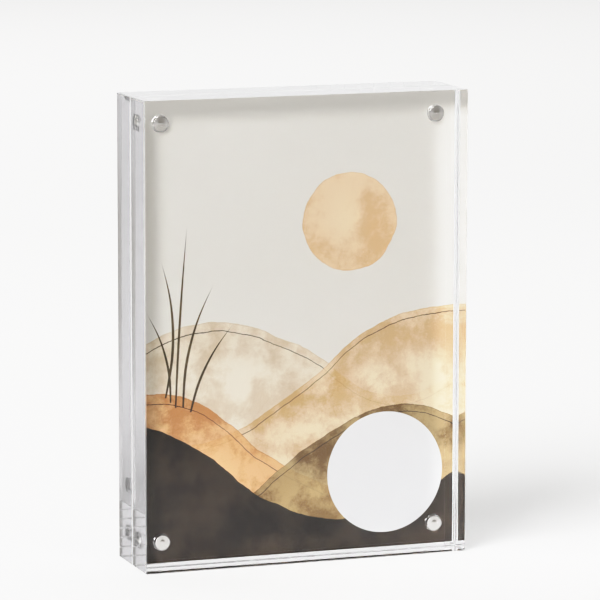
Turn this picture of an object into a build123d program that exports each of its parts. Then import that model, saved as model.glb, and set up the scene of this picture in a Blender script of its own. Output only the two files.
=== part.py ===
from build123d import *
import os

# A free-standing block frame for one print.
# Two clear acrylic blocks stand face to face, and round magnets near their corners pull them together.
# The print is held between the blocks and shows from both sides, so each block is the other turned round.
# X runs along the width, Y from the front to the back, and Z up.
# The origin is at the middle of the closed frame's foot. Lengths are in millimetres.

# The print, a picture of 5 by 7 inches on a card with a narrow white rim
print_width = 127.0
print_height = 177.8
print_rim = 0.3
print_thickness = 0.3
print_slack = 0.02  # left free on each face of the card when the frame is closed

# The clear border that the blocks have round the card, which never lies quite in the middle
border_left = 1.5
border_right = 0.9
border_top = 0.3
border_bottom = 1.3

# Each block
block_depth = 17.0
edge_bevel = 0.3  # the polished bevel that breaks every edge

# Each magnet, a plated disc
magnet_diameter = 6.0
magnet_length = 3.0
magnet_edge_bevel = 0.25

# Each magnet's middle, from the block's side and from its top or foot
magnet_inset_x = 9.5
magnet_inset_z = 9.8

# Each pocket, milled from the block's inner face
pocket_clearance = 0.1  # round the magnet
pocket_mouth_bevel = 0.2
pocket_floor_radius = 0.3  # the milling cutter's own corner
glue_bed = 0.15  # from the magnet's end to the pocket's floor
magnet_recess = 0.05  # from the block's inner face down to the magnet
cutter_mark_diameter = 1.2
cutter_mark_depth = 0.2
cut_overrun = 1.0  # how far a cutter starts outside the block

# Worked out from the sizes above
card_width = print_width + 2 * print_rim
card_height = print_height + 2 * print_rim
block_width = border_left + card_width + border_right
block_height = border_bottom + card_height + border_top
block_middle_z = block_height / 2
block_gap = print_thickness + 2 * print_slack
card_middle_x = (border_left - border_right) / 2
card_middle_z = border_bottom + card_height / 2
magnet_spacing_x = block_width - 2 * magnet_inset_x
magnet_spacing_z = block_height - 2 * magnet_inset_z
pocket_radius = magnet_diameter / 2 + pocket_clearance
pocket_depth = magnet_recess + magnet_length + glue_bed
cutter_mark_radius = cutter_mark_diameter / 2

# The block on each side of the card, as the sign of its Y
sides = {"front": -1, "back": 1}

# Each corner as someone in front of the frame sees it, as the signs of its X and Z from the middle
corners = {
    "top_left": (-1, 1),
    "top_right": (1, 1),
    "bottom_left": (-1, -1),
    "bottom_right": (1, -1),
}

os.makedirs("parts", exist_ok=True)


def plane_in_block(side, depth, x=0, z=block_middle_z):
    """A plane at that depth below a block's inner face, which looks on into the block."""
    y = side * (block_gap / 2 + depth)
    return Plane(origin=(x, y, z), x_dir=(1, 0, 0), z_dir=(0, side, 0))


def keep(piece, name):
    """Names a finished piece and writes its file."""
    piece.part.label = name
    export_step(piece.part, f"parts/{name}.step")
    print(name, "volume", round(piece.part.volume, 1))


# The pocket's own shape, turned about Z: mouth bevel, wall, rounded floor and the mark of the cutter's tip
with BuildPart() as pocket:
    with BuildSketch(Plane.XZ):
        with BuildLine():
            floor_edge = pocket_radius - pocket_floor_radius
            wall_end = pocket_depth - pocket_floor_radius
            start_radius = pocket_radius + pocket_mouth_bevel + cut_overrun
            Polyline(
                (0, pocket_depth + cutter_mark_depth),
                (0, -cut_overrun),
                (start_radius, -cut_overrun),
                (pocket_radius, pocket_mouth_bevel),
                (pocket_radius, wall_end),
            )
            wall_to_floor = CenterArc((floor_edge, wall_end), pocket_floor_radius, 0, 90)
            Polyline(
                wall_to_floor @ 1,
                (cutter_mark_radius, pocket_depth),
                (0, pocket_depth + cutter_mark_depth),
            )
        make_face()
    revolve(axis=Axis.Z)

# The two blocks, each with a pocket in every corner of its inner face
for side_name, side in sides.items():
    inner_face = plane_in_block(side, 0)
    with BuildPart() as block:
        with BuildSketch(inner_face):
            Rectangle(block_width, block_height)
        extrude(amount=block_depth)
        chamfer(block.edges(), edge_bevel)
        with Locations(inner_face):
            with GridLocations(magnet_spacing_x, magnet_spacing_z, 2, 2):
                add(pocket.part, mode=Mode.SUBTRACT)
    keep(block, f"{side_name}_block")

# The magnets, glued into their pockets just below the blocks' inner faces
for side_name, side in sides.items():
    for corner_name, (right, up) in corners.items():
        middle_x = right * magnet_spacing_x / 2
        middle_z = block_middle_z + up * magnet_spacing_z / 2
        with BuildPart() as magnet:
            with BuildSketch(plane_in_block(side, magnet_recess, middle_x, middle_z)):
                Circle(magnet_diameter / 2)
            extrude(amount=magnet_length)
            chamfer(magnet.edges().filter_by(GeomType.CIRCLE), magnet_edge_bevel)
        keep(magnet, f"{side_name}_magnet_{corner_name}")

# The printed card
card_face = Plane(
    origin=(card_middle_x, -print_thickness / 2, card_middle_z), x_dir=(1, 0, 0), z_dir=(0, 1, 0)
)
with BuildPart() as card:
    with BuildSketch(card_face):
        Rectangle(card_width, card_height)
    extrude(amount=print_thickness)
keep(card, "photo_insert")

print("closed frame", block_width, "wide,", block_height, "high,", 2 * block_depth + block_gap, "deep")
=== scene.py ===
# %% [markdown]
# # A block frame of clear acrylic, dressed for its picture
#
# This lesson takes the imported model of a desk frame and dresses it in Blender.
# The frame is two thick blocks of clear acrylic that stand face to face.
# Magnets in their corners pull them together, and the blocks hold a printed card between them.
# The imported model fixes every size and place, so each new piece is made to fit its solid exactly.

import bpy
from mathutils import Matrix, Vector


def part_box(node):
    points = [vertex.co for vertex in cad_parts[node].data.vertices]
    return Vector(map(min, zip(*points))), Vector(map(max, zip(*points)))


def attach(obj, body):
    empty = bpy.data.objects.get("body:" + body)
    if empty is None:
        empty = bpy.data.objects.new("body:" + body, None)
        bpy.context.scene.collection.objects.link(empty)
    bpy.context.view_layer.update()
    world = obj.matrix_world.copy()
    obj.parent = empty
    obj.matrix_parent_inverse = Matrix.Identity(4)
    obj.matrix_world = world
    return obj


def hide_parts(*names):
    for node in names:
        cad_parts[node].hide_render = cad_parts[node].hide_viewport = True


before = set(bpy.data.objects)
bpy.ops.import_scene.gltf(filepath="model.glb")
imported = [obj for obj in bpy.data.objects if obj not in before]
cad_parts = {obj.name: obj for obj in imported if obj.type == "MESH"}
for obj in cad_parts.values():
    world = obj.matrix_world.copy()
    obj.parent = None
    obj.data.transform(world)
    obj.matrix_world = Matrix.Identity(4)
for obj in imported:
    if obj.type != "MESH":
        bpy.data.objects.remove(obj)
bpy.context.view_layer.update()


# %% [markdown]
# ## How light travels
#
# Blender's own modules make meshes and materials, and lengths are in millimetres times MM.
# A frame like this is all flat faces and clear depth, so its looks come from light that bends.
# Light may cross the blocks many times before it comes out, so it gets more bounces than
# Blender gives at first.
# Gloss isn't blurred after a matt bounce, because the sharp mirrors in the blocks light the card.

# %% Import the modules and set how light travels
import math

import bmesh
import bpy
from mathutils import Matrix, Vector, noise

MM = 0.001
scene = bpy.context.scene
scene.cycles.max_bounces = 48
scene.cycles.transmission_bounces = 32
scene.cycles.glossy_bounces = 32
scene.cycles.blur_glossy = 0.0
print("light may bounce", scene.cycles.max_bounces, "times")

# %% [markdown]
# ## The tones of the picture
#
# The plain view transform keeps the print's colours as they were mixed.
# A curve deepens the darkest tones and eases the brightest toward white, as a camera does.
# Each of its points says how bright a surface is, and then how bright it comes out.

# %% Draw the tone curve
tone_points = [
    (0.0, 0.0), (0.06, 0.025), (0.12, 0.07), (0.2, 0.15), (0.32, 0.29), (0.45, 0.44),
    (0.6, 0.595), (0.72, 0.72), (0.85, 0.825), (1.0, 0.9), (1.2, 0.96), (1.6, 0.99), (3.0, 1.0),
]
all_channels = 3


def draw_curve(mapping, channel, points):
    """Puts one of Blender's curves through points. It has two at first, and the rest are added."""
    line = mapping.curves[channel]
    for index, place in enumerate(points):
        if index < len(line.points):
            line.points[index].location = place
        else:
            line.points.new(*place)
    mapping.update()


scene.view_settings.view_transform = "Standard"
scene.view_settings.use_curve_mapping = True
tone_curve = scene.view_settings.curve_mapping
tone_curve.clip_max_x = tone_points[-1][0]
draw_curve(tone_curve, all_channels, tone_points)
print("the tone curve has", len(tone_curve.curves[all_channels].points), "points")

# %% [markdown]
# ## The camera
#
# The photographer stood well back, a little to the left of the frame and a little above it.
# A long lens from far away keeps the frame's upright edges nearly parallel.
# The camera could be placed by eye, but its place here was worked out from the frame's corners.
# The last lines print where the front corners land in a picture of 600 by 600.

# %% Place the camera
camera_place = Vector((-0.544952, -1.528084, 0.351175))
camera_forward = Vector((0.33347, 0.9302, -0.15337))
camera_up = Vector((0.05083, 0.14471, 0.98817))
camera_lens = 256.7
sensor_width = 36.0
picture_side = 600

camera_data = bpy.data.cameras.new("camera")
camera_data.sensor_width = sensor_width
camera_data.lens = camera_lens
camera_data.clip_end = 60.0
camera = bpy.data.objects.new("camera", camera_data)
scene.collection.objects.link(camera)
camera_right = camera_forward.cross(camera_up).normalized()
camera_up = camera_right.cross(camera_forward).normalized()
camera_axes = Matrix((camera_right, camera_up, -camera_forward.normalized())).transposed()
camera.matrix_world = Matrix.Translation(camera_place) @ camera_axes.to_4x4()
scene.camera = camera
bpy.context.view_layer.update()


def in_picture(point):
    """Where a point lands in the picture, in pixels from its left and its top."""
    seen = camera.matrix_world.inverted() @ point
    scale = camera_lens / sensor_width * picture_side / -seen.z
    return round(picture_side / 2 + seen.x * scale, 1), round(picture_side / 2 - seen.y * scale, 1)


front_low, front_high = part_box("front_block")
for x in (front_low.x, front_high.x):
    for z in (front_low.z, front_high.z):
        print("front corner lands at", in_picture(Vector((x, front_low.y, z))))

# %% [markdown]
# ## A small kit for materials
#
# Every finish here is made of Blender's shader nodes, and each node needs the same three steps.
# It is added, its settings are given, and its sockets are filled with a value or a link.
# A few helpers do these steps, so the recipes further down read like a list of what each finish
# is made of.

# %% Helpers that add nodes
def fill(tree, filled, sockets):
    """Fills a node's sockets, each called by its name or its number, with values or links."""
    for socket, value in sockets.items():
        if isinstance(value, bpy.types.NodeSocket):
            tree.links.new(value, filled.inputs[socket])
        else:
            filled.inputs[socket].default_value = value


def node(tree, kind, sockets=None, **settings):
    """Adds a node to a tree, with its settings, and fills its sockets."""
    added = tree.nodes.new("ShaderNode" + kind)
    for name, value in settings.items():
        setattr(added, name, value)
    fill(tree, added, sockets or {})
    return added


def new_finish(name):
    """A material with its node tree and its main shader."""
    finish = bpy.data.materials.new(name)
    finish.use_nodes = True
    return finish, finish.node_tree, finish.node_tree.nodes["Principled BSDF"]


print("helpers for nodes:", [helper.__name__ for helper in (fill, node, new_finish)])

# %% [markdown]
# A pattern is a sum over each point's place, so sums are the next helpers.
# A ramp is the one that comes back most: it turns any measure into another, softly at both ends.

# %% Helpers that calculate
def own_place(tree):
    """Each point's own place on the frame, in metres."""
    return node(tree, "TexCoord").outputs["Object"]


def figure(tree, operation, *values, clamp=False):
    """The result of one sum with numbers, such as ADD or MULTIPLY."""
    sums = node(tree, "Math", dict(enumerate(values)), operation=operation, use_clamp=clamp)
    return sums.outputs["Value"]


def point_figure(tree, operation, *values):
    """The result of one sum with points, axis by axis."""
    sums = node(tree, "VectorMath", dict(enumerate(values)), operation=operation)
    return sums.outputs["Vector"]


def axis_distance(tree, point, x, z):
    """How far each point lies from the line at x and z that runs from the front to the back."""
    offset = point_figure(tree, "SUBTRACT", point, (x, 0, z))
    flat = point_figure(tree, "MULTIPLY", offset, (1, 0, 1))
    return node(tree, "VectorMath", {0: flat}, operation="LENGTH").outputs["Value"]


def ramp(tree, value, start, end, low=0.0, high=1.0, smooth=True):
    """A value that goes from low to high as another goes from start to end."""
    sockets = {"Value": value, "From Min": start, "From Max": end, "To Min": low, "To Max": high}
    kind = "SMOOTHSTEP" if smooth else "LINEAR"
    return node(tree, "MapRange", sockets, interpolation_type=kind).outputs["Result"]


sum_helpers = (own_place, figure, point_figure, axis_distance, ramp)
print("helpers for sums:", [helper.__name__ for helper in sum_helpers])

# %% [markdown]
# Colours come last. Blender's mix node has sockets for numbers, points and colours side by side,
# under the same names, so the helper calls the ones for colours by their numbers.

# %% Helpers for colours
mix_share, mix_first, mix_second, mix_result = 0, 6, 7, 2


def grey(brightness):
    """A neutral colour."""
    return (brightness, brightness, brightness, 1.0)


def linear(red, green, blue):
    """A colour as a screen gives it, from 0 to 255, in the linear numbers that shaders use."""
    shares = [c / 255 for c in (red, green, blue)]
    return [c / 12.92 if c <= 0.04045 else ((c + 0.055) / 1.055) ** 2.4 for c in shares] + [1.0]


def blend_colours(tree, share, first, second):
    """Two colours mixed: none of the second at share 0, all of it at share 1."""
    sockets = {mix_share: share, mix_first: first, mix_second: second}
    return node(tree, "Mix", sockets, data_type="RGBA").outputs[mix_result]


def mottle(tree, place, scale, detail, roughness=0.5, distortion=0.0):
    """A cloudy value about a half. A larger scale gives smaller clouds, and detail adds finer."""
    sockets = {"Vector": place, "Scale": scale, "Detail": detail}
    finer = {"Roughness": roughness, "Distortion": distortion}
    return node(tree, "TexNoise", sockets | finer).outputs["Fac"]


print("a screen's middle grey in linear numbers:", round(linear(128, 128, 128)[0], 3))

# %% [markdown]
# ## The stage
#
# The photograph shows the frame on plain white, with hardly a shadow.
# A wide pale floor under a bright, even sky gives that, and the blocks pick up soft greys from it.
# The floor is a large round sheet, so that no edge of it shows from any side.
# It lies a hair below the frame's foot: the air between them makes the foot a mirror from inside.
# One helper makes an object from a drawn shape, for the floor and for the frame's pieces alike.

# %% Lay the floor
floor_radius = 14.0
floor_gap = 0.05 * MM
round_steps = 96  # the straight steps that make a circle


def new_piece(shape, name):
    """An object of that name, made from a finished shape."""
    piece = bpy.data.objects.new(name, bpy.data.meshes.new(name))
    shape.to_mesh(piece.data)
    shape.free()
    scene.collection.objects.link(piece)
    return piece


floor_shape = bmesh.new()
bmesh.ops.create_circle(floor_shape, cap_ends=True, radius=floor_radius, segments=round_steps)
floor = new_piece(floor_shape, "floor")
floor.location.z = -floor_gap
print("floor", 2 * floor_radius, "m across")

# %% [markdown]
# The floor's paint is a plain grey with faint clouds, which the light makes nearly white.
# Far behind the frame it is paler: painted light, which keeps the far floor bright where the lamps
# reach less.
# A darker grey band lies across it before the frame, out of the picture: painted shade, as if
# something kept the light off that part of the floor.
# The front block's face mirrors it, and so the print's darkest tones stay deep.
# It could be a sheet of its own, but as a part of the paint it has no edge that would show.

# %% Paint the floor
floor_greys = grey(0.345), grey(0.355)
# A paler grey far behind the frame: painted light where the lamps reach less
far_painted_light_grey = grey(0.5)
# The grey of the band before the frame: painted shade
painted_shade_grey = (0.2, 0.192, 0.178, 1.0)
far_starts, far_ends = 0.8, 2.6
# Where the band of painted shade begins and ends, from behind to the front
shade_band_back, shade_band_back_full, shade_band_front_full, shade_band_front = -0.08, -0.5, -0.7, -1.4

floor_paint, tree, shader = new_finish("pale_floor")
place = own_place(tree)
how_far = node(tree, "SeparateXYZ", {"Vector": place}).outputs["Y"]
floor_cloud = mottle(tree, place, scale=1.3, detail=3.0)
near_floor = blend_colours(tree, floor_cloud, *floor_greys)
# The floor grows paler far behind: painted light
whole_floor = blend_colours(tree, ramp(tree, how_far, far_starts, far_ends), near_floor, far_painted_light_grey)
# The band of painted shade before the frame
behind_front = ramp(tree, how_far, shade_band_front, shade_band_front_full)
before_back = ramp(tree, how_far, shade_band_back, shade_band_back_full)
in_painted_shade = figure(tree, "MULTIPLY", before_back, behind_front)
painted_floor = {
    "Base Color": blend_colours(tree, in_painted_shade, whole_floor, painted_shade_grey),
    "Roughness": 0.9,
    "Specular IOR Level": 0.15,
}
fill(tree, shader, painted_floor)
floor.data.materials.append(floor_paint)
print("the floor's paint has", len(tree.nodes), "nodes")

# %% [markdown]
# ## The light
#
# The print tells where the light came from, because it is darker near its left edge and its top.
# The side faces of a clear block are mirrors from inside, so near them the card sees one side of
# the room twice.
# How far in the darkness reaches gives the angle: a soft panel stood at the left, well above the
# frame.
# The room behind and overhead was bright, and the room in front was dim and a little warmer.
# The sky does the room's part, and one area light is the panel.

# %% Light the sky
sky_front, sky_overhead, sky_behind = 0.34, 0.58, 1.42
warm_white, pure_white = (1.0, 0.96, 0.9, 1.0), grey(1.0)
overhead_starts, overhead_ends = 0.15, 0.85
low_ends, low_starts = 0.42, 0.1
behind_starts, behind_ends = 0.1, 0.7
cool_starts, cool_ends = -0.3, 0.5

world = bpy.data.worlds.new("studio")
world.use_nodes = True
scene.world = world
tree = world.node_tree
direction = node(tree, "SeparateXYZ", {"Vector": node(tree, "TexCoord").outputs["Generated"]})
up, to_the_back = direction.outputs["Z"], direction.outputs["Y"]
overhead = ramp(tree, up, overhead_starts, overhead_ends, sky_front, sky_overhead)
low_down = ramp(tree, up, low_ends, low_starts, 0.0, sky_behind - sky_front)
at_the_back = ramp(tree, to_the_back, behind_starts, behind_ends)
behind = figure(tree, "MULTIPLY", low_down, at_the_back)
coolness = ramp(tree, to_the_back, cool_starts, cool_ends)
sky_light = {
    "Strength": figure(tree, "ADD", overhead, behind),
    "Color": blend_colours(tree, coolness, warm_white, pure_white),
}
fill(tree, tree.nodes["Background"], sky_light)
print("the sky goes from", sky_front, "in front to", sky_behind, "behind")

# %% [markdown]
# The panel's place is an angle to the left of straight ahead and an angle above level, as on a
# lamp stand that is walked round the frame. Its power grows with its area, so that a larger
# panel would look as bright.

# %% Hang the soft panel
panel_left, panel_above = math.radians(55), math.radians(38)
panel_distance, panel_width, panel_brightness = 4.0, 2.2, 24.5
frame_middle = Vector((0, 0, 90 * MM))


def square_lamp(name, width, watts):
    """A square area light, which has still to be placed."""
    light = bpy.data.lights.new(name, "AREA")
    light.shape = "SQUARE"
    light.size = width
    light.energy = watts
    lamp = bpy.data.objects.new(name, light)
    scene.collection.objects.link(lamp)
    return lamp


level = math.cos(panel_above)
to_panel = Vector(
    (-math.sin(panel_left) * level, -math.cos(panel_left) * level, math.sin(panel_above))
)
key_panel = square_lamp("key_panel", panel_width, panel_brightness * math.pi * panel_width**2)
key_panel.location = frame_middle + to_panel * panel_distance
key_panel.rotation_mode = "QUATERNION"
key_panel.rotation_quaternion = (-to_panel).to_track_quat("-Z", "Y")
print("the panel gives", round(key_panel.data.energy, 1), "watts")

# %% [markdown]
# A second lamp lights the floor alone, which makes it white and leaves only a faint shadow on it.
# On the frame it would wash out the card's own shades, so it is linked to the floor.
# Only the floor blocks its light too, so the frame casts no shadow in it.

# %% Hang the floor's lamp
floor_lamp_width, floor_lamp_watts = 2.0, 118.0
floor_lamp_place = (0.3, 0.9, 2.4)
floor_lamp = square_lamp("floor_lamp", floor_lamp_width, floor_lamp_watts)
floor_lamp.location = floor_lamp_place
only_the_floor = bpy.data.collections.new("only_the_floor")
only_the_floor.objects.link(floor)
floor_lamp.light_linking.receiver_collection = only_the_floor
floor_lamp.light_linking.blocker_collection = only_the_floor
print("the floor's lamp hangs", round(floor_lamp.location.z, 1), "m high")

# %% [markdown]
# ## The clear blocks
#
# Each block is cast acrylic, sawn, milled square and polished until its edges shine.
# A small bevel breaks every edge, and it shows as the thin bright lines round each face.
# Four blind pockets are milled into the inner face, one for each magnet.
# The cutter leaves a small round at the foot of a pocket's wall and a shallow cone in its middle.

# %% Sizes of the blocks and their pockets
edge_bevel = 0.3 * MM
pocket_radius, pocket_depth = 3.1 * MM, 3.2 * MM
pocket_mouth_bevel = 0.2 * MM
pocket_floor_radius = 0.3 * MM
cutter_mark_radius, cutter_mark_depth = 0.6 * MM, 0.2 * MM
corners = ("top_left", "top_right", "bottom_left", "bottom_right")
sides = {"front": -1, "back": 1}
print("pockets", round(2 * pocket_radius / MM, 1), "mm wide,", round(pocket_depth / MM, 1), "deep")

# %% [markdown]
# Pockets and magnets are both round, so one helper turns either from its outline, as a lathe does.
# Blender's screw modifier would turn an outline too, but here the pockets' mouths have to be
# joined to the block's face, point by point.
# An outline is a list of points, each with its radius and its depth.

# %% Turn a round shape from its outline
def turned_rings(shape, outline, middle, start_y, side):
    """Adds the surface that an outline sweeps about its middle, and returns its rings."""
    rings = []
    for radius, depth in outline:
        y = start_y + side * depth
        steps = round_steps if radius else 1
        turns = [2 * math.pi * step / steps for step in range(steps)]
        places = [(radius * math.cos(turn), radius * math.sin(turn)) for turn in turns]
        rings.append([shape.verts.new((middle.x + x, y, middle.z + z)) for x, z in places])
    for first, second in zip(rings, rings[1:]):
        for step in range(round_steps):
            after = (step + 1) % round_steps
            if len(first) == 1:
                shape.faces.new((first[0], second[step], second[after]))
            elif len(second) == 1:
                shape.faces.new((first[step], first[after], second[0]))
            else:
                shape.faces.new((first[step], first[after], second[after], second[step]))
    return rings


def rounded_corner(radius, depth, size, start, end, steps=5):
    """Points of a quarter round for an outline, about the centre (radius, depth)."""
    turns = [math.radians(start + (end - start) * step / steps) for step in range(steps + 1)]
    return [(radius + size * math.cos(t), depth + size * math.sin(t)) for t in turns]


floor_edge_radius = pocket_radius - pocket_floor_radius
wall_end = pocket_depth - pocket_floor_radius
pocket_outline = [
    (pocket_radius + pocket_mouth_bevel, 0.0),
    (pocket_radius, pocket_mouth_bevel),
    *rounded_corner(floor_edge_radius, wall_end, pocket_floor_radius, 0, 90),
    (cutter_mark_radius, pocket_depth),
    (0, pocket_depth + cutter_mark_depth),
]
print("pocket outline has", len(pocket_outline), "points")

# %% [markdown]
# A slab with holes cut by the Boolean modifier would do, but its curved walls come out uneven.
# Here the slab is bevelled first, and then its inner face is opened and filled again round the
# mouths of four turned pockets.
# Each face carries a number that says how it was finished: scraped, milled or polished.

# %% Build both blocks
scraped, milled, polished = 1.0, 0.03, 0.0


def middle_of(name):
    """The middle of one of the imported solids."""
    low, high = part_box(name)
    return (low + high) / 2


def face_outward(shape, sharp_from):
    """Turns every face outward, and leaves edges sharp that bend by that many degrees or more."""
    bmesh.ops.recalc_face_normals(shape, faces=shape.faces[:])
    for edge in shape.edges:
        edge.smooth = edge.calc_face_angle(math.pi) < math.radians(sharp_from)


def bevelled_slab(middle, size):
    """A slab with small bevels, and the layer that holds each face's finish."""
    shape = bmesh.new()
    how_rough = shape.faces.layers.float.new("how_rough")
    bmesh.ops.create_cube(shape, size=1.0, matrix=Matrix.LocRotScale(middle, None, size))
    every_edge = shape.edges[:]
    bevelled = bmesh.ops.bevel(
        shape, geom=every_edge, offset=edge_bevel, segments=1, affect="EDGES"
    )
    for face in bevelled["faces"]:
        face[how_rough] = scraped
    return shape, how_rough


def acrylic_block(side_name):
    """A bevelled slab with four pockets in its inner face."""
    side = sides[side_name]
    low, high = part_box(f"{side_name}_block")
    inner_y = high.y if side < 0 else low.y
    shape, how_rough = bevelled_slab((low + high) / 2, high - low)
    inner_face = min(shape.faces, key=lambda face: abs(face.calc_center_median().y - inner_y))
    outline = list(inner_face.edges)
    bmesh.ops.delete(shape, geom=[inner_face], context="FACES_ONLY")
    slab_faces = len(shape.faces)
    for corner in corners:
        pocket_middle = middle_of(f"{side_name}_magnet_{corner}")
        mouth = turned_rings(shape, pocket_outline, pocket_middle, inner_y, side)[0]
        outline += [shape.edges.get(ends) for ends in zip(mouth, mouth[1:] + mouth[:1])]
    shape.faces.ensure_lookup_table()
    for face in shape.faces[slab_faces:]:
        face.smooth = True
        face[how_rough] = milled
    outward = (0, -side, 0)
    filled = bmesh.ops.triangle_fill(shape, use_beauty=True, edges=outline, normal=outward)
    for face in (item for item in filled["geom"] if isinstance(item, bmesh.types.BMFace)):
        face[how_rough] = polished
    face_outward(shape, sharp_from=25)
    open_edges = sum(not edge.is_manifold for edge in shape.edges)
    block = new_piece(shape, f"{side_name}_clear_block")
    print(block.name, len(block.data.polygons), "faces,", open_edges, "open edges")
    return block


blocks = {side_name: acrylic_block(side_name) for side_name in sides}

# %% [markdown]
# ## What the blocks are made of
#
# Cast acrylic bends light by 1.49, lets nearly all of it through and has a surface like a mirror.
# Seen through its face it has no colour, but along its length it turns a cool grey.
# That grey grows with the way that light goes inside, so it belongs to the volume and not to the
# surface.
# Polishing leaves the faintest haze, which a slow noise in the roughness stands for.
#
# The milled pockets are a little dull. The bevels are scraped by hand and stay frosted, so each
# one that faces the lights is a pale line.
# A second material on them would be simpler, but light that goes in through one material and out
# through the other would carry the grey on into the air. So one material does both, and the frost
# is a little matt white.

# %% Mix the clear acrylic
light_bend = 1.491
depth_colour, depth_density = (0.5, 0.49, 0.51, 1.0), 7.2
surface_tints = (0.99, 0.992, 0.995, 1.0), pure_white
most_haze = 0.012
least_frost, most_frost = 0.45, 0.6
frosted_clear_share = 0.9

acrylic, tree, shader = new_finish("clear_acrylic")
place = own_place(tree)
how_rough = node(tree, "Attribute", attribute_name="how_rough").outputs["Fac"]
polish = mottle(tree, place, scale=90.0, detail=4.0)
ripples = mottle(tree, place, scale=1500.0, detail=3.0)
haze = ramp(tree, polish, 0.45, 0.75, 0.0, most_haze)
frosting = ramp(tree, ripples, 0.3, 0.7, least_frost, most_frost)
frost = figure(tree, "MULTIPLY", how_rough, frosting)
clear_surface = {
    "Base Color": blend_colours(tree, ripples, *surface_tints),
    "Roughness": figure(tree, "ADD", haze, frost),
    "Transmission Weight": ramp(tree, how_rough, 0.5, 1.0, 1.0, frosted_clear_share),
    "IOR": light_bend,
}
fill(tree, shader, clear_surface)
depth_grey = node(tree, "VolumeAbsorption", {"Color": depth_colour, "Density": depth_density})
fill(tree, tree.nodes["Material Output"], {"Volume": depth_grey.outputs["Volume"]})
for block in blocks.values():
    block.data.materials.append(acrylic)
print("acrylic bends light by", round(shader.inputs["IOR"].default_value, 3))

# %% [markdown]
# ## The magnets
#
# Each magnet is a disc of 6 by 3 mm, plated with nickel.
# Its edges are tumbled round, and the middle of each end stands out as a very low dome, which the
# upper magnets show best.
# A cylinder with a bevel would lack all that, so the disc is turned from its own outline.
# The outline has a point just beside each bend, which keeps the flat ring between them flat.

# %% Turn the magnets
magnet_edge_radius = 0.25 * MM
end_recess = 0.05 * MM
dome_radius, dome_top_radius, dome_height = 1.4 * MM, 0.65 * MM, 0.05 * MM
dome_steps = 16
flat_margin = 0.06 * MM


def magnet_outline(radius, length):
    """The outline of a magnet, from the middle of one end to the middle of the other."""
    half = [(0, end_recess - dome_height)]
    for step in range(dome_steps + 1):
        share = step / dome_steps
        r = dome_top_radius + share * (dome_radius - dome_top_radius)
        half.append((r, end_recess - dome_height * math.cos(math.pi / 2 * share) ** 2))
    bend_radius = radius - magnet_edge_radius
    half += [(dome_radius + flat_margin, end_recess), (bend_radius - flat_margin, end_recess)]
    bend_depth = end_recess + magnet_edge_radius
    half += rounded_corner(bend_radius, bend_depth, magnet_edge_radius, -90, 0)
    return half + [(r, length - depth) for r, depth in reversed(half)]


def magnet(side_name, corner):
    """One plated disc in its pocket."""
    side = sides[side_name]
    low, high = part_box(f"{side_name}_magnet_{corner}")
    outer_end = high.y if side < 0 else low.y
    outline = magnet_outline((high.x - low.x) / 2, high.y - low.y)
    shape = bmesh.new()
    turned_rings(shape, outline, (low + high) / 2, outer_end, side)
    for face in shape.faces:
        face.smooth = True
    face_outward(shape, sharp_from=30)
    return new_piece(shape, f"{side_name}_disc_{corner}")


magnet_places = [(side_name, corner) for side_name in sides for corner in corners]
magnets = {place: magnet(*place) for place in magnet_places}
print(len(magnets), "magnets of", len(next(iter(magnets.values())).data.polygons), "faces")

# %% [markdown]
# ## The plating
#
# Bright nickel is a warm silver that blurs what it mirrors.
# Grinding leaves rings about each magnet's own middle, so they can't come from one noise in space.
# Each magnet is far from the others, so the distance to the nearest magnet's axis gives its rings.
# The pattern folds space about the blocks' middle, where all four corners then fall on one.

# %% Mix the plating
silvers = (0.77, 0.755, 0.725, 1.0), (0.85, 0.84, 0.815, 1.0)
least_blur, most_blur = 0.1, 0.2
ring_depth, ring_strength = 0.05 * MM, 0.25
magnet_middle = middle_of("front_magnet_top_right")
block_middle_z = (front_low.z + front_high.z) / 2

plating, tree, shader = new_finish("nickel_plating")
place = own_place(tree)
from_middle = point_figure(tree, "SUBTRACT", place, (0, 0, block_middle_z))
folded = point_figure(tree, "ABSOLUTE", from_middle)
from_axis = axis_distance(tree, folded, magnet_middle.x, magnet_middle.z - block_middle_z)
ring_place = node(tree, "CombineXYZ", {"X": from_axis}).outputs["Vector"]
rings = mottle(tree, ring_place, scale=3500.0, detail=2.0)
specks = mottle(tree, place, scale=2500.0, detail=3.0)
ring_sockets = {"Height": rings, "Strength": ring_strength, "Distance": ring_depth}
ground = node(tree, "Bump", ring_sockets)
plated_surface = {
    "Base Color": blend_colours(tree, specks, *silvers),
    "Roughness": ramp(tree, rings, 0.3, 0.7, least_blur, most_blur),
    "Metallic": 1.0,
    "Normal": ground.outputs["Normal"],
}
fill(tree, shader, plated_surface)
for disc in magnets.values():
    disc.data.materials.append(plating)
print("plating has", len(tree.nodes), "nodes")

# %% [markdown]
# ## The printed card
#
# The card is heavy art paper, printed on both sides and cut with a sharp blade.
# Held between the blocks it is almost flat, but paper always keeps a wave of a few microns.
# A plain box would be too perfect, so both faces are fine grids that a slow noise moves together.
# The grid's last row turns over the edge, which is rounded a little by the cutter.

# %% Lay out both faces of the card
card_low, card_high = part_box("photo_insert")
card_cells_x, card_cells_z = 20, 28
card_wave = 0.006 * MM
waves_per_metre = 30
card_edge_round = 0.04 * MM
front_print, back_print, cut_edge = 0, 1, 2


def card_point(side, step_x, step_z):
    """A point of one face's grid. The outermost row is drawn in to round the edge."""
    x = card_low.x + (card_high.x - card_low.x) * step_x / card_cells_x
    z = card_low.z + (card_high.z - card_low.z) * step_z / card_cells_z
    wave = card_wave * noise.noise(Vector((x, 0, z)) * waves_per_metre)
    half = (card_high.y - card_low.y) / 2 - card_wave
    on_rim = step_x in (0, card_cells_x) or step_z in (0, card_cells_z)
    return Vector((x, side * (half - card_edge_round * on_rim) + wave, z))


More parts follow.
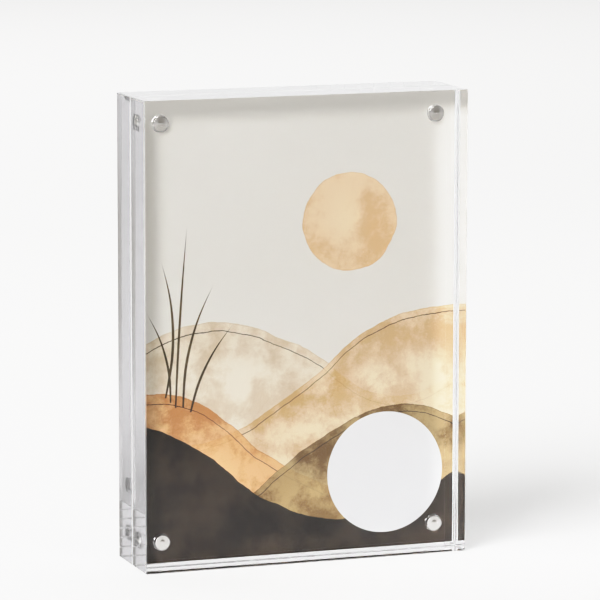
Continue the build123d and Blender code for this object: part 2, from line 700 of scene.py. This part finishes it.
def card_sheet(shape, side, finish_index):
    """One face of the card, and its columns of points."""
    columns = [
        [shape.verts.new(card_point(side, i, k)) for k in range(card_cells_z + 1)]
        for i in range(card_cells_x + 1)
    ]
    for left, right in zip(columns, columns[1:]):
        for k in range(card_cells_z):
            face = shape.faces.new((left[k], right[k], right[k + 1], left[k + 1]))
            face.material_index = finish_index
    return columns


card_shape = bmesh.new()
front_sheet = card_sheet(card_shape, -1, front_print)
back_sheet = card_sheet(card_shape, 1, back_print)
print("each face of the card has", card_cells_x * card_cells_z, "cells")

# %% [markdown]
# The cut edge is a strip of faces that joins the two grids all the way round.
# It gets a finish of its own, because the blade leaves raw paper there.

# %% Close the card's edge
def rim_of(columns):
    """The points round one face's edge, in order."""
    foot = [column[0] for column in columns]
    right = columns[-1][1:]
    top = [column[-1] for column in reversed(columns[:-1])]
    left = list(reversed(columns[0][1:-1]))
    return foot + right + top + left


front_rim, back_rim = rim_of(front_sheet), rim_of(back_sheet)
for step in range(len(front_rim)):
    after = (step + 1) % len(front_rim)
    face = card_shape.faces.new(
        (front_rim[step], front_rim[after], back_rim[after], back_rim[step])
    )
    face.material_index = cut_edge
bmesh.ops.recalc_face_normals(card_shape, faces=card_shape.faces[:])
card = new_piece(card_shape, "printed_card")
print("card has", len(card.data.polygons), "faces")

# %% [markdown]
# ## How a wash of colour is printed
#
# The print is a generic landscape in watercolour: soft dunes, a low sun and some grasses.
# A painter lays one wash over another, and each is deeper where the pigment gathered, at its rim.
# The same can be done with nodes: a shape is a distance, positive inside it and negative outside.
# That one number gives the mask and the dark rim, and a shared noise gives the pigment's clouds.
# Lengths in the print are millimetres from the card's lower left corner.

# %% Helpers that find a point's place on the print
card_wide = (card_high.x - card_low.x) / MM
card_tall = (card_high.z - card_low.z) / MM


def on_the_card(tree, across):
    """Each point's place on the print. across is 1 on the front and -1 on the back."""
    corner = (-card_low.x if across > 0 else card_high.x) / MM
    to_print = (across / MM, 0, 1 / MM)
    return point_figure(
        tree, "MULTIPLY_ADD", own_place(tree), to_print, (corner, 0, -card_low.z / MM)
    )


def across_and_up(tree, point):
    """A point's distance from the print's left and from its foot."""
    parts = node(tree, "SeparateXYZ", {"Vector": point})
    return parts.outputs["X"], parts.outputs["Z"]


def wobbled(tree, point, reach, scale):
    """The point moved about by a noise, so that what is drawn with it has a painted edge."""
    cloud = node(tree, "TexNoise", {"Vector": point, "Scale": scale, "Detail": 3.0})
    both_ways, back = (2 * reach,) * 3, (-reach,) * 3
    pushed = point_figure(tree, "MULTIPLY_ADD", cloud.outputs["Color"], both_ways, back)
    return point_figure(tree, "ADD", point, pushed)


def curve_height(tree, value, span, points):
    """A smooth curve through points of (where, how much), both in millimetres."""
    drawn = node(tree, "FloatCurve", {"Value": figure(tree, "DIVIDE", value, span)})
    draw_curve(drawn.mapping, 0, [(where / span, much / card_tall) for where, much in points])
    return figure(tree, "MULTIPLY", drawn.outputs["Value"], card_tall)


print("the card is", round(card_wide, 1), "by", round(card_tall, 1), "mm")

# %% [markdown]
# A wash is deepest in a thin rim, deeper near its crest than further down, and mottled all over.
# An ink line is a narrow band on both sides of a curve.
# Both have a soft edge of about a tenth of a millimetre, because ink spreads a little in paper.

# %% Helpers that paint
wash_cover = 0.88  # how much of what lies under it a wash hides
wash_edge = 0.12
rim_width, rim_depth = 0.5, 0.6
fade_reach, crest_depth, foot_depth = 30.0, 0.25, -0.15
line_edge = 0.1


def wash(tree, under, inside, light, deep, cloud, cover=wash_cover):
    """One wash over what is under it. inside is how far a point lies inside the shape."""
    at_rim = ramp(tree, inside, 0.0, rim_width, rim_depth, 0.0)
    below_crest = ramp(tree, inside, 0.0, fade_reach, crest_depth, foot_depth)
    pigment = figure(tree, "ADD", figure(tree, "ADD", at_rim, below_crest), cloud, clamp=True)
    colour = blend_colours(tree, pigment, linear(*light), linear(*deep))
    return blend_colours(tree, ramp(tree, inside, -wash_edge, wash_edge, 0.0, cover), under, colour)


def ink_line(tree, under, off_line, half_width, ink):
    """A thin line where a distance is near zero."""
    near = figure(tree, "SUBTRACT", half_width, figure(tree, "ABSOLUTE", off_line))
    return blend_colours(tree, ramp(tree, near, -line_edge, line_edge), under, linear(*ink))


print("a wash hides", wash_cover, "of what lies under it")

# %% [markdown]
# ## The picture
#
# The dunes lie one behind another, palest at the back and darkest at the foot.
# Each crest is a drawn curve, which is freer than a sine and needs one node.
# Thin ink lines follow some crests, and tall grasses grow at the left.
# A round white label lies over the dunes at the right, and a narrow white rim runs round it all.

# %% Choose the dunes, the sun and the grasses
cream = (234, 232, 226)
ink_brown = (40, 33, 27)
leaf_olive = (96, 82, 58)
paper_white = (243, 244, 246)
paper_rim = 0.3
# Each dune has how much it hides, its light tone, its deep tone, and points of its crest
dunes = {
    "pale": (
        0.85, (240, 231, 214), (204, 184, 152), [(0, 84), (30, 92), (66, 80), (98, 60), (127, 66)]
    ),
    "sand": (
        0.85, (238, 220, 188), (194, 158, 108), [(0, 50), (26, 46), (60, 62), (96, 88), (127, 94)]
    ),
    "tan": (
        0.88, (234, 190, 136), (172, 112, 54), [(0, 66), (22, 62), (50, 40), (80, 24), (127, 10)]
    ),
    "olive": (
        0.9, (184, 160, 116), (96, 70, 34), [(0, 10), (34, 18), (68, 42), (104, 56), (127, 50)]
    ),
    "dark": (
        0.99, (56, 46, 38), (22, 17, 13), [(0, 54), (22, 44), (54, 20), (92, 13), (127, 28)]
    ),
}
contours = {"pale": 3.5, "sand": 2.6, "tan": 4.0, "olive": 3.0}  # how far below the crest
contour_half_width = 0.16
sun_place, sun_radius = (84.3, 128.3), 19.0
sun_light, sun_deep = (236, 214, 178), (208, 172, 124)
label_place, label_radius = (99.1, 29.8), 23.75
# Each grass has its foot, its tip, how far across it is halfway up, and how broad it is
grasses = [
    ((10, 64), (8, 118), 13, 0.9),
    ((14, 60), (19, 132), 16, 0.8),
    ((17, 60), (30, 108), 20, 0.9),
    ((12, 62), (2, 98), 10, 0.8),
    ((20, 58), (38, 92), 26, 0.9),
]
print(len(dunes), "dunes,", len(contours), "ink lines and", len(grasses), "grasses")

# %% [markdown]
# The pigment's clouds are shared by all washes, as if one sheet of wet paper had taken them all.
# Broad clouds carry most of it, fine grain is the paper's own, and where the broad pools dried,
# their edges left thin tide marks.

# %% Gather the pigment
tide_level, tide_width, tide_depth = 0.52, 0.014, 0.14


def paper_grain(tree, point):
    """The fine grain of art paper."""
    return mottle(tree, point, scale=1.4, detail=5.0, roughness=0.7)


def pigment_cloud(tree, painted, grain):
    """How deep the pigment lies at each point."""
    broad = mottle(tree, painted, scale=0.045, detail=7.0, roughness=0.66)
    pools = mottle(tree, painted, scale=0.06, detail=2.0, distortion=0.8)
    from_tide = figure(tree, "ABSOLUTE", figure(tree, "SUBTRACT", pools, tide_level))
    clouds = ramp(tree, broad, 0.4, 0.62, -0.05, 0.85)
    grains = ramp(tree, grain, 0.25, 0.75, -0.1, 0.1)
    tide_marks = ramp(tree, from_tide, 0.0, tide_width, tide_depth, 0.0)
    return figure(tree, "ADD", clouds, figure(tree, "ADD", grains, tide_marks), clamp=True)


print("a tide mark deepens the pigment by", tide_depth)

# %% [markdown]
# The dunes are painted from the back to the front, so that each hides part of the one behind.
# A point's depth below the crest is the distance that the wash needs, and an ink line is drawn
# where that depth has one value.

# %% Paint the dunes
def paint_dunes(tree, colour, painted, cloud):
    """The dunes over what is there, each with its ink line."""
    across, up = across_and_up(tree, painted)
    for dune, (cover, light, deep, crest) in dunes.items():
        below_crest = figure(tree, "SUBTRACT", curve_height(tree, across, card_wide, crest), up)
        colour = wash(tree, colour, below_crest, light, deep, cloud, cover)
        if dune in contours:
            off_line = figure(tree, "SUBTRACT", below_crest, contours[dune])
            colour = ink_line(tree, colour, off_line, contour_half_width, ink_brown)
    return colour


print("ink lines on", ", ".join(contours))

# %% [markdown]
# A blade of grass is a stem with a breadth that shrinks to nothing at its tip.
# It swells a little above its foot, because a full brush lets go of more ink once it moves.

# %% Draw the grasses
foot_swell, tip_swell = 0.5, 2.2
blade_edge, blade_foot_edge = 0.2, 0.2


def draw_grasses(tree, colour, point, cloud):
    """The blades of grass over what is there."""
    across, up = across_and_up(tree, point)
    leaf = blend_colours(tree, cloud, linear(*leaf_olive), linear(*ink_brown))
    for (foot, foot_up), (tip, tip_up), bend, breadth in grasses:
        stem_points = [(foot_up, foot), ((foot_up + tip_up) / 2, bend), (tip_up, tip)]
        stem = curve_height(tree, up, card_tall, stem_points)
        share = ramp(tree, up, foot_up, tip_up, smooth=False)
        to_tip = figure(tree, "SUBTRACT", 1.0, share)
        swell = ramp(tree, share, 0.0, 1.0, foot_swell, tip_swell, smooth=False)
        half_width = figure(tree, "MULTIPLY", figure(tree, "MULTIPLY", to_tip, swell), breadth)
        beside = figure(tree, "ABSOLUTE", figure(tree, "SUBTRACT", across, stem))
        inside = figure(tree, "SUBTRACT", half_width, beside)
        above_foot = ramp(tree, up, foot_up - blade_foot_edge, foot_up + blade_foot_edge)
        mask = figure(tree, "MULTIPLY", ramp(tree, inside, 0.0, blade_edge), above_foot)
        colour = blend_colours(tree, mask, colour, leaf)
    return colour


print(len(grasses), "grasses, the tallest", max(tip[1] for _, tip, _, _ in grasses), "mm up")

# %% [markdown]
# Both faces carry the same picture, so one function prints either. It starts with the bare cream,
# lays everything over it in order, and trims it with the white rim.
# The surface itself is almost matt, and its tooth is too fine to see as more than a softness.

# %% Print both faces
broad_wobble, fine_wobble = (1.1, 0.09), (0.22, 0.8)
cream_grain = 3
label_edge, rim_edge = 0.06, 0.03
least_matt, most_matt = 0.5, 0.6
tooth_depth, tooth_strength = 0.002 * MM, 0.015


def print_finish(name, across):
    """The picture on one face of the card."""
    finish, tree, shader = new_finish(name)
    point = on_the_card(tree, across)
    painted = wobbled(tree, wobbled(tree, point, *broad_wobble), *fine_wobble)
    grain = paper_grain(tree, point)
    cloud = pigment_cloud(tree, painted, grain)
    deeper_cream = [c - cream_grain for c in cream]
    colour = blend_colours(tree, grain, linear(*cream), linear(*deeper_cream))

    in_sun = figure(tree, "SUBTRACT", sun_radius, axis_distance(tree, painted, *sun_place))
    colour = wash(tree, colour, in_sun, sun_light, sun_deep, cloud)
    colour = paint_dunes(tree, colour, painted, cloud)
    colour = draw_grasses(tree, colour, point, cloud)

    in_label = figure(tree, "SUBTRACT", label_radius, axis_distance(tree, point, *label_place))
    label_mask = ramp(tree, in_label, -label_edge, label_edge)
    colour = blend_colours(tree, label_mask, colour, linear(*paper_white))

    u, v = across_and_up(tree, point)
    from_side = figure(tree, "MINIMUM", u, figure(tree, "SUBTRACT", card_wide, u))
    from_end = figure(tree, "MINIMUM", v, figure(tree, "SUBTRACT", card_tall, v))
    from_edge = figure(tree, "MINIMUM", from_side, from_end)
    printed = ramp(tree, from_edge, paper_rim - rim_edge, paper_rim + rim_edge)

    fibres = mottle(tree, point, scale=6.0, detail=4.0)
    tooth_sockets = {"Height": fibres, "Strength": tooth_strength, "Distance": tooth_depth}
    tooth = node(tree, "Bump", tooth_sockets)
    printed_surface = {
        "Base Color": blend_colours(tree, printed, linear(*paper_white), colour),
        "Specular IOR Level": 0.2,
        "Roughness": ramp(tree, grain, 0.3, 0.7, least_matt, most_matt),
        "Normal": tooth.outputs["Normal"],
    }
    fill(tree, shader, printed_surface)
    print(name, "has", len(tree.nodes), "nodes")
    return finish


card.data.materials.append(print_finish("print_front", 1))
card.data.materials.append(print_finish("print_back", -1))

# %% [markdown]
# ## The card's cut edge
#
# The blade leaves the raw paper showing, a little warmer than the printed face and with short
# fibres.

# %% Mix the raw paper
raw_light, raw_deep = (222, 214, 200), (196, 184, 164)
raw_paper, tree, shader = new_finish("raw_paper")
fibre = mottle(tree, own_place(tree), scale=4000.0, detail=4.0)
raw_colour = blend_colours(tree, fibre, linear(*raw_light), linear(*raw_deep))
fill(tree, shader, {"Base Color": raw_colour, "Roughness": 0.85})
card.data.materials.append(raw_paper)
print("card has", len(card.data.materials), "finishes")

# %% [markdown]
# ## What moves with what
#
# The front block comes away with its magnets, and the card lifts out from between the blocks.
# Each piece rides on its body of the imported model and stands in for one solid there.

# %% Join every piece to its body
for side_name, block in blocks.items():
    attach(block, f"{side_name}_half")
    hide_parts(f"{side_name}_block")
for (side_name, corner), disc in magnets.items():
    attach(disc, f"{side_name}_half")
    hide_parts(f"{side_name}_magnet_{corner}")
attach(card, "print")
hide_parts("photo_insert")

# %% [markdown]
# ## The size
#
# The dressed frame has to stay inside the box of the solids.

# %% Bring the scene up to date
bpy.context.view_layer.update()
